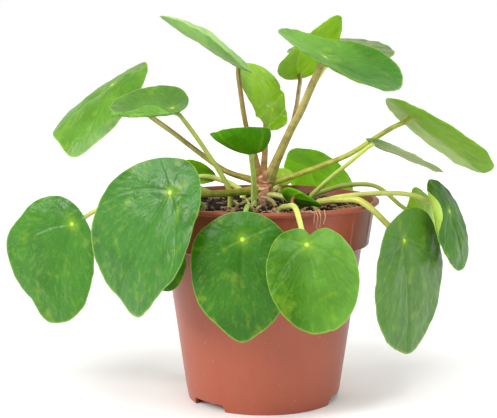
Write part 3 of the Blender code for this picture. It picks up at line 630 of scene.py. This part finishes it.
# A leaf's navel is where its stalk meets the blade. "facing" turns the upper side from the front (0) to the
# right (90), lifts it from level sight to straight up (90) and swings the tip about it. "reach" is how far
# the margin lies from the navel at the tip, base, left and right, "droop" is how far tip and sides sag,
# "taper" narrows the tip, and "margin" swells the outline by so many percent at twelve angles from the tip.
# "point" and "notch" give an angle from the tip and how far the margin stands out or in, "fold" how far off
# a fold lies, its angle and its way from the tip, and "crease" how far off a small step lies, its way and
# height. "tint" and "under" colour the two faces, and the keys with "far" the half towards "blend_way";
# the halves blend softly over "blend_over" millimetres and differ by painted light: a painted sheen on the
# far half of leaves 5, 11, 12 and 19 and on the near half of leaf 7, and on leaf 20 a painted lit near half
# and a painted shade on the far half.
leaves = {
    1: dict(navel=(-99, -8, 92), facing=(-25, 7, -16), reach=(57, 12, 37, 19), droop=(7, 1), taper=0.05,
            margin=(4, 2, 3, 1, -3, -11, -5, -7, -9, 5, 1, -5), tint=(57, 116, 24), under=(96, 150, 58)),
    2: dict(navel=(-45, -52, 114), facing=(-38, 18, -31), reach=(65, 17, 34, 35), droop=(6, -4), taper=-0.08,
            point=(0, -3), margin=(0, 1, -10, -4, -10, -2, 3, -7, -4, -1, 2, 0), tint=(54, 112, 33),
            under=(97, 153, 65)),
    3: dict(navel=(-83, 42, 162), facing=(-56, 50, -40), reach=(42.6, 22.5, 28.3, 30.6), droop=(3.2, 11.2),
            taper=-0.02, point=(53, 5.5), margin=(5, 1, -1, -1, -6, 2, 1, -3, 1, 0, 0, -1),
            tint=(86, 136, 34), under=(121, 172, 65)),
    4: dict(navel=(-46.2, -12, 152.4), facing=(-31, 69, -73.4), reach=(32.6, 8.1, 19.5, 21.5),
            droop=(-2, -4), taper=0.15, fold=(13.5, -78, 95), margin=(-2, -5, 7, 0, 6, 0, -2, 2, 6, 3, 5, 3),
            tint=(89, 136, 51), under=(112, 160, 70)),
    5: dict(navel=(-12, -4.6, 174.2), facing=(67, 60, -162), reach=(46.4, 7.6, 15.4, 30.6), droop=(-1, -6),
            taper=-0.15, blend_way=0, blend_over=60, tint=(104, 152, 74), under=(127, 168, 94),
            tint_far=(164, 198, 128)),
    6: dict(navel=(4.4, 12, 149.8), facing=(61.6, 13, 8.3), reach=(11.9, 26.6, 19, 17.7), droop=(4.4, 0),
            taper=0.17, fold=(4.8, -46.3, 12.5), crease=(-3.5, 12.5, 0.7),
            margin=(-6, 0, 2, 2, 1, 1, 2, -2, 2, -5, 1, 5), tint=(136, 184, 4), under=(129, 172, 35)),
    7: dict(navel=(31, -12, 178), facing=(53, 61, 18), reach=(40, 28, 27, 29), droop=(-2, -5), taper=-0.45,
            blend_way=0, blend_over=40, margin=(2, 1, -1, 2, -7, 1, -2, 3, 0, 0, 0, 1), tint=(106, 160, 46),
            under=(111, 156, 61), tint_far=(58, 118, 14)),
    8: dict(navel=(-6, -27, 131), facing=(-164, 79.5, 133.8), reach=(30.4, 3.3, 12.5, 14.7),
            droop=(-2.8, -7.5), taper=0.23, margin=(-2, 0, -1, -2, 1, -4, 0, 0, 0, -1, 2, 0),
            tint=(66, 124, 24), under=(71, 138, 9)),
    9: dict(navel=(18.5, 41, 168), facing=(-136, 38.4, -158.9), reach=(38.9, 6.1, 27.6, 11.7), droop=(0, 3),
            taper=0.24, point=(-120, 4), margin=(1, -1, 1, -3, 0, 0, -1, 5, -2, 2, 1, 0),
            tint=(110, 160, 40), under=(142, 195, 24)),
    10: dict(navel=(43, 78, 182), facing=(-6, 80, 75), reach=(32, 30, 28, 28), droop=(3, 0),
             tint=(94, 121, 52), under=(142, 172, 100)),
    11: dict(navel=(76, -5, 148), facing=(113, 54, -1), reach=(51, 16, 29, 29), droop=(0, -2), taper=-0.2,
             margin=(2, 14, 20, 19, 16, -1, -1, -8, -11, -6, -4, 0), tint=(96, 146, 44),
             under=(135, 178, 59), under_far=(174, 202, 120)),
    12: dict(navel=(54.5, -30, 137.2), facing=(109.2, 66.9, -12.1), reach=(36.3, 3.6, 20.1, 20.6),
             droop=(0.5, 0.5), taper=0.3, blend_way=0, blend_over=20,
             margin=(1, 2, -5, -7, 9, 0, -1, 2, 5, -1, -6, 7), tint=(84, 136, 44), under=(62, 112, 40),
             under_far=(168, 184, 134)),
    13: dict(navel=(97, 0, 98), facing=(64, 24.6, 0.6), reach=(30.4, 19.2, 26.5, 20.7), droop=(4, 2),
             fold=(17.5, -110, -110), margin=(0, 2, -1, -8, -1, 2, 1, -6, -7, -6, -7, -3), tint=(56, 112, 8),
             under=(172, 202, 92)),
    14: dict(navel=(70, -35, 88), facing=(52, 4, 8), reach=(59, 15, 28, 38), droop=(3, 2), taper=0.05,
             margin=(3, 2, 1, 2, -4, 0, -2, 3, -3, 1, 1, -1), tint=(74, 121, 41), under=(103, 145, 64)),
    # Leaf 15 lies in shade, so its tint is painted light: a lime much lighter than its own green.
    15: dict(navel=(84.8, 12, 94), facing=(57.5, 11, 2.8), reach=(31.1, 13.1, 22.5, 22.3), droop=(3, 3),
             taper=-0.05, point=(184.6, 2.7), margin=(0, 0, 0, 0, 0, -3, 0, -1, 0, 0, 0, 0),
             tint=(191, 226, 75), under=(139, 182, 73)),
    16: dict(navel=(27.5, 79.8, 112.5), facing=(146, 41, 3), reach=(26, 20, 27, 16), droop=(4, 3),
             margin=(0, 0, 15, 11, -1, 1, -6, 5, 6, 5, 0, 0), tint=(96, 148, 30), under=(126, 198, 9)),
    # Leaf 17's underside is painted bright lime, a painted glow of light shining through the blade.
    17: dict(navel=(-43, 35, 116), facing=(-169, 62, -7), reach=(23, 14, 17, 16), droop=(0, 4),
             tint=(90, 146, 34), under=(165, 245, 8)),
    18: dict(navel=(-10, -69, 94), facing=(-10, 13, -1), reach=(46, 14, 25, 25), droop=(5, 3), taper=0.1,
             point=(0, 4), margin=(-4, -1, -2, 0, 0, -4, -6, -6, 2, -2, 0, -3), tint=(49, 107, 11),
             under=(87, 139, 43)),
    19: dict(navel=(20, -77, 93), facing=(8, 30, 7), reach=(41, 9, 21, 22), droop=(4, 3), taper=0.05,
             notch=(170, 4.5), blend_over=24, margin=(-2, 0, 1, 2, 7, 11, -6, 11, 3, -1, -2, -2),
             tint=(62, 116, 8), under=(105, 152, 50), tint_far=(96, 150, 50)),
    20: dict(navel=(15.6, -25.1, 109), facing=(146, 43, -75), reach=(12.4, 7, 5.6, 7.3), droop=(0, 0),
             taper=0.3, point=(20, 3), margin=(0, -6, 0, 0, 6, 0, 0, 4, 8, 0, -8, -6), tint=(60, 108, 24),
             under=(111, 190, 28), under_far=(40, 110, 25)),
    21: dict(navel=(-46.5, -46.5, 80), facing=(-45, 4, -40), reach=(17, 12, 13, 13), droop=(1, 1),
             tint=(80, 132, 40), under=(97, 145, 55)),
    22: dict(navel=(10.9, 50, 112.2), facing=(10, 40, -7), reach=(7, 4, 6, 6), droop=(1, 0),
             tint=(173, 208, 69), under=(147, 182, 70)),
}
young_leaves = (6, 9, 16, 17, 22)


def smooth_route(points, steps):
    """Run a curve through the points, with its first and last stretches straight."""
    headings = [points[1] - points[0], points[1] - points[0]]
    headings += [after - before for before, after in zip(points[1:-3], points[3:-1])]
    headings += [points[-1] - points[-2]]
    route = [points[0]]
    for index in range(1, len(points) - 2):
        start, stop = points[index], points[index + 1]
        third = (stop - start).length / 3
        leaving, arriving = headings[index].normalized() * third, headings[index + 1].normalized() * third
        route += geometry.interpolate_bezier(start, start + leaving, stop - arriving, stop, steps + 1)[:-1]
    return route + points[-2:]


def leaf_axes(leaf):
    """The blade's own directions: towards its tip, towards its right side and out of its upper face."""
    faces, rise, turn = (radians(angle) for angle in leaf["facing"])
    level = level_way(faces)
    out = level * cos(rise) + Vector((0, 0, sin(rise)))
    downhill = level * sin(rise) - Vector((0, 0, cos(rise)))
    across = out.cross(downhill)
    tipward = downhill * cos(turn) + across * sin(turn)
    return tipward, out.cross(tipward), out


def stalk_start(stalk):
    """The first two points of a stalk, the first of them inside what it grows from."""
    if "root" in stalk:
        return [Vector((*stalk["root"], rooted_height)), Vector((*stalk["root"], soil_level))]
    if "way" in stalk:
        base = level_way(radians(stalk["way"])) * stem_heart + Vector((0, 0, stalk["height"]))
    else:
        base = Vector((*stalk["foot"], inner_top))
    heading = (Vector(stalk["via"][0]) - base).normalized()
    return [base, base + heading * 5.0]


def stalk_tube(number, stalk):
    """A stalk that runs on into its blade, with a flared foot and a collar under the blade."""
    leaf = leaves[number]
    out = leaf_axes(leaf)[2]
    navel = Vector(leaf["navel"])
    end = navel - out * collar_below_navel
    last = Vector(stalk["via"][-1]) if stalk["via"] else end - out * 4.0
    slant = ((end - last).normalized() + out * 0.5).normalized() * 1.6
    points = stalk_start(stalk) + [Vector(point) for point in stalk["via"]] + [end - slant, end]
    way = smooth_route(points, 9)
    way = way[:1] + [way[0].lerp(way[1], share) for share in (0.35, 0.7)] + way[1:]
    way.append(navel - out * end_below_navel)
    travelled = [0.0]
    for before, after in zip(way, way[1:]):
        travelled.append(travelled[-1] + (after - before).length)
    low, high = stalk["radius"]
    route = []
    for point, run in zip(way, travelled):
        share = run / travelled[-1]
        flare = 1 + 0.45 * exp(-run / 7) * ("root" not in stalk) + 0.15 * exp(-run / 5)
        collar = 1 + 0.35 * exp(-(travelled[-1] - run) / 1.2)
        knots = 1 + 0.03 * noise.noise(Vector((run * 0.12, number, 0)))
        route.append((point, (low + (high - low) * share) * flare * collar * knots))
    bm = tubes([route], 3)
    uv = bm.loops.layers.uv.active
    tint_layer = bm.verts.layers.float_vector.new("tint")
    foot_shade, top_shade = (Vector(rgb(*shade)[:3]) for shade in stalk["shades"])
    for vertex in bm.verts:
        along = vertex.link_loops[0][uv].uv.y
        vertex[tint_layer] = foot_shade.lerp(top_shade, min(1.0, along * 1.6))
    return bm


for number, stalk in stalks.items():
    slot, skin = ("brown_stalk", brown_skin) if number in brown_stalks else ("green_stalk", green_skin)
    finish_piece(stalk_tube(number, stalk), f"leaf_stalk_{number:02d}", [skin],
                 [f"stalk_{number:02d}"])


# Blades: a round fleshy leaf hung from its stalk off the middle, with a pale dot above the join, a sunk
# midrib, two curved side veins, faint quilting between them and a thin pale margin. Each main vein has its
# angle from the tip at the navel, how far that turns by the margin, its depth and its width.
blade_thickness = 0.8
main_veins = ((0.0, 0.0, 0.4, 1.5), (1.25, -0.45, 0.10, 1.4), (2.15, -0.15, 0.06, 1.2))
small_leaf, small_rings, small_steps, rings_of_blade, steps_of_blade = 36, 14, 72, 26, 144


def folded(leaf, along, across, height):
    """Bend what lies past the fold line round a small radius."""
    start, bent, towards = leaf["fold"]
    bend = radians(abs(bent))
    side = copysign(1.0, bent)
    radius = 3.0 if abs(bent) > 60 else 1.2
    way = Vector((cos(radians(towards)), sin(radians(towards))))
    forward = way.dot((along, across))
    past = forward - start
    if past <= 0:
        return along, across, height
    turned = min(past, bend * radius) / radius
    straight = max(past - bend * radius, 0.0)
    new_forward = start + radius * sin(turned) + straight * cos(turned)
    new_forward += side * height * sin(turned)
    drop = radius * (1 - cos(turned)) + straight * sin(turned)
    moved = Vector((along, across)) + way * (new_forward - forward)
    return moved.x, moved.y, height * cos(turned) - side * drop


def margin_swell(leaf, angle):
    """How far the outline swells at an angle from the tip, read between the twelve values of "margin"."""
    swell = 0.0
    for number, percent in enumerate(leaf.get("margin", ())):
        away = abs(turned_away(angle, number * tau / 12))
        if away < tau / 12:
            swell += percent / 100 * (0.5 + 0.5 * cos(away * 6))
    return swell


def blade_point(number, leaf, angle, share):
    """A point of the blade's upper face, and where it lies along and across the blade from the navel."""
    tip, base, left, right = leaf["reach"]
    tip_droop, side_droop = leaf["droop"]
    half_length, half_width = (tip + base) / 2, (left + right) / 2
    wobble = Vector((cos(angle), sin(angle), number * 3.7))
    edge = margin_swell(leaf, angle) + 0.006 * noise.noise(wobble * 5) + 0.005 * noise.noise(wobble * 11)
    spread = share * (1 + edge * share ** 2)
    if "notch" in leaf:
        towards, depth = leaf["notch"]
        away = turned_away(angle, radians(towards))
        spread *= 1 - depth / base * exp(-(away / 0.16) ** 2) * share ** 0.6
    narrowed = 1 - leaf.get("taper", 0.0) * cos(angle)
    along = spread * ((tip - base) / 2 + half_length * cos(angle))
    across = spread * ((right - left) / 2 + half_width * sin(angle) * narrowed)
    if "point" in leaf:
        towards, extra = leaf["point"]
        peak = share * extra * max(cos(angle - radians(towards)), 0.0) ** 24
        along += peak * cos(angle)
        across += peak * sin(angle)
    height = -tip_droop * (along / half_length) ** 2 - side_droop * (across / half_width) ** 2
    from_navel = hypot(along, across)
    height -= 0.5 * exp(-(from_navel / 2.2) ** 2)
    size = min(1.0, half_length / 25)
    away = abs(atan2(across, along))
    for start, turn, depth, width in main_veins:
        gap = (away - (start + turn * share)) * from_navel
        groove = exp(-(gap / width) ** 2) * min(1.0, from_navel / 4)
        hollow = 2.4 * exp(-(gap / 6) ** 2) * min(1.0, from_navel / 9)
        height -= size * (1.05 - share) * depth * (groove + hollow)
    swell = noise.noise(Vector((along, across, number * 11)) * 0.11)
    height += size * (0.65 * swell + 0.30 * noise.noise(Vector((along, across, number * 5)) * 0.27))
    height += size * (0.5 * noise.noise(wobble * 2.3) + 0.25 * noise.noise(wobble * 6)) * share ** 4
    if "crease" in leaf:
        line, towards, step = leaf["crease"]
        past = along * cos(radians(towards)) + across * sin(radians(towards)) - line
        height += step / (1 + exp(-past * 5)) - 1.6 * step * exp(-(past / 1.2) ** 2)
    flat_along, flat_across = along, across
    if "fold" in leaf:
        along, across, height = folded(leaf, along, across, height)
    tipward, rightward, out = leaf_axes(leaf)
    point = Vector(leaf["navel"]) + tipward * along + rightward * across + out * height
    return point, flat_along, flat_across


def half_tint(leaf, face, along, across):
    """A blade face's colour, painted with sheen or shade on the half towards "blend_way" on some leaves."""
    near = Vector(rgb(*leaf[face])[:3])
    far = Vector(rgb(*leaf.get(face + "_far", leaf[face]))[:3])
    way = radians(leaf.get("blend_way", 90))
    forward = along * cos(way) + across * sin(way)
    return near.lerp(far, min(1.0, max(0.0, forward / leaf.get("blend_over", 8) + 0.5)))


def leaf_blade(number, leaf):
    """A disc of rings shaped into the upper face, and its underside, which closes on it at the rim."""
    small = leaf["reach"][0] + leaf["reach"][1] < small_leaf
    rings, steps = (small_rings, small_steps) if small else (rings_of_blade, steps_of_blade)
    bm = spun([(0, 0)] + [(0.03 + 0.97 * (ring / rings) ** 0.9, 0) for ring in range(1, rings + 1)], steps)
    bm.faces.ensure_lookup_table()
    if bm.faces[0].normal.z < 0:
        bmesh.ops.reverse_faces(bm, faces=bm.faces)
    blade_layer = bm.verts.layers.float_vector.new("blade")
    tint_layer = bm.verts.layers.float_vector.new("tint")
    place_layer = bm.verts.layers.float_vector.new("upper_place")
    for vertex in bm.verts:
        angle = atan2(vertex.co.y, vertex.co.x)
        share = min(1.0, hypot(vertex.co.x, vertex.co.y))
        vertex.co, along, across = blade_point(number, leaf, angle, share)
        vertex[blade_layer] = (along, across, share)
        vertex[tint_layer] = half_tint(leaf, "tint", along, across)
        vertex[place_layer] = vertex.co
    upper = set(bm.faces)
    upper_verts = set(bm.verts)
    bm.normal_update()
    bmesh.ops.solidify(bm, geom=bm.faces, thickness=blade_thickness)
    for face in bm.faces:
        if face not in upper:
            face.material_index = 1
    for vertex in bm.verts:
        if vertex not in upper_verts:
            place = vertex[place_layer]
            rim = min(1.0, max(0.0, (vertex[blade_layer].z - 0.86) / 0.14))
            vertex.co = place + (vertex.co - place) * (1 - 0.6 * rim)
            vertex[tint_layer] = half_tint(leaf, "under", *vertex[blade_layer].xy)
    bm.verts.layers.float_vector.remove(place_layer)
    return bm


def vein_distance(tree, along, across, share):
    """Nodes that give the distances from the navel and to the nearest main vein, in millimetres."""
    reach = math_node(tree, "SQRT", math_node(tree, "MULTIPLY_ADD", along, along,
                                              math_node(tree, "MULTIPLY", across, across)))
    away = math_node(tree, "ARCTAN2", math_node(tree, "ABSOLUTE", across), along)
    nearest = None
    for start, turn, _, _ in main_veins:
        past = math_node(tree, "SUBTRACT", away, math_node(tree, "MULTIPLY_ADD", share, turn, start))
        gap = math_node(tree, "MULTIPLY", math_node(tree, "ABSOLUTE", past), reach)
        nearest = gap if nearest is None else math_node(tree, "MINIMUM", nearest, gap)
    return reach, nearest


def fade(tree, value, start, stop, most):
    """A smooth ramp from nothing at start to most at stop."""
    return graded(tree, value, start, stop, 0.0, most, "SMOOTHSTEP")


def blade_material(name, underside):
    """A waxy leaf skin in the blade's own tint, clouded, streaked outwards from the navel and quilted."""
    material, tree, shader = new_material(name, 0.5 if underside else 0.33)
    blade = add_node(tree, "Attribute", attribute_name="blade").outputs["Vector"]
    tint = add_node(tree, "Attribute", attribute_name="tint").outputs["Color"]
    parts = add_node(tree, "SeparateXYZ", {"Vector": blade}).outputs
    reach, vein = vein_distance(tree, parts["X"], parts["Y"], parts["Z"])
    shade = clouds(tree, 55.0, 3.0)
    wander = clouds(tree, 90.0, output="Color")
    warped = add_node(tree, "VectorMath", {0: wander, 1: (6.0, 6.0, 0.0), 2: blade},
                      operation="MULTIPLY_ADD")
    flat = add_node(tree, "VectorMath", {0: warped.outputs["Vector"], 1: (1.0, 1.0, 0.0)},
                    operation="MULTIPLY")
    net = add_node(tree, "TexVoronoi", {"Vector": flat.outputs["Vector"], "Scale": 0.16},
                   feature="DISTANCE_TO_EDGE").outputs["Distance"]
    onward = add_node(tree, "VectorMath", {0: blade}, operation="NORMALIZE").outputs["Vector"]
    ray = add_node(tree, "SeparateXYZ", {"Vector": onward}).outputs
    fan = add_node(tree, "CombineXYZ", {"X": ray["X"], "Y": ray["Y"],
                                        "Z": math_node(tree, "MULTIPLY", reach, 0.012)})
    streaks = clouds(tree, 16.0, 4.0, places=fan.outputs["Vector"])
    specks = clouds(tree, 800.0, 3.0)
    pale = blend(tree, 0.4, tint, rgb(190, 214, 60))
    deep = blend(tree, 1.0, tint, (0.58, 0.66, 0.5, 1), "MULTIPLY")
    far = fade(tree, reach, 3.0, 22.0, 1.0)
    light_streaks = math_node(tree, "MULTIPLY", fade(tree, streaks, 0.50, 0.72, 0.20), far)
    dark_streaks = math_node(tree, "MULTIPLY", fade(tree, streaks, 0.48, 0.28, 0.30), far)
    colour = blend(tree, fade(tree, shade, 0.58, 0.36, 0.6), tint, deep)
    for share, towards in ((fade(tree, clouds(tree, 120.0), 0.54, 0.76, 0.38), pale),
                           (light_streaks, pale), (dark_streaks, deep),
                           (fade(tree, specks, 0.50, 0.75, 0.12), pale),
                           (fade(tree, specks, 0.50, 0.25, 0.14), deep),
                           (fade(tree, reach, 8.0, 1.0, 0.22), pale)):
        colour = blend(tree, share, colour, towards)
    if underside:
        colour = blend(tree, fade(tree, vein, 1.2, 0.2, 0.25), colour, pale)
    else:
        # On the upper face the sunk veins are painted darker, a painted shade in their grooves.
        for share, towards in ((fade(tree, vein, 1.2, 0.2, 0.12), deep),
                               (fade(tree, reach, 4.0, 1.5, 0.2), rgb(150, 196, 40)),
                               (fade(tree, reach, 1.5, 0.5, 0.85), rgb(192, 222, 72)),
                               (fade(tree, parts["Z"], 0.975, 0.995, 0.35), rgb(170, 190, 90))):
            colour = blend(tree, share, colour, towards)
    heights = math_node(tree, "ADD", fade(tree, vein, 1.6, 0.0, 0.8 if underside else -0.5),
                        fade(tree, net, 0.0, 0.20, -0.25 if underside else 0.22))
    for relief, strength in ((math_node(tree, "MULTIPLY", streaks, far), 0.7), (specks, 0.35),
                             (clouds(tree, 2200.0), 0.06)):
        heights = math_node(tree, "MULTIPLY_ADD", relief, strength, heights)
    surface(tree, shader, colour, heights, 0.5, 0.0006)
    glossy, dull = (0.55, 0.65) if underside else (0.27, 0.40)
    tree.links.new(graded(tree, shade, 0.3, 0.7, glossy, dull), shader.inputs["Roughness"])
    shader.inputs["Specular IOR Level"].default_value = 0.12 if underside else 0.28
    shader.inputs["Subsurface Weight"].default_value = 0.35
    shader.inputs["Subsurface Radius"].default_value = (0.8, 1.0, 0.2)
    shader.inputs["Subsurface Scale"].default_value = 0.0015
    return material


blade_finish = [blade_material("leaf_upper_side", False), blade_material("leaf_lower_side", True)]
for number, leaf in leaves.items():
    slot = "young_leaf" if number in young_leaves else "leaf"
    finish_piece(leaf_blade(number, leaf), f"leaf_blade_{number:02d}", blade_finish,
                 [f"leaf_{number:02d}"], sharp=50)
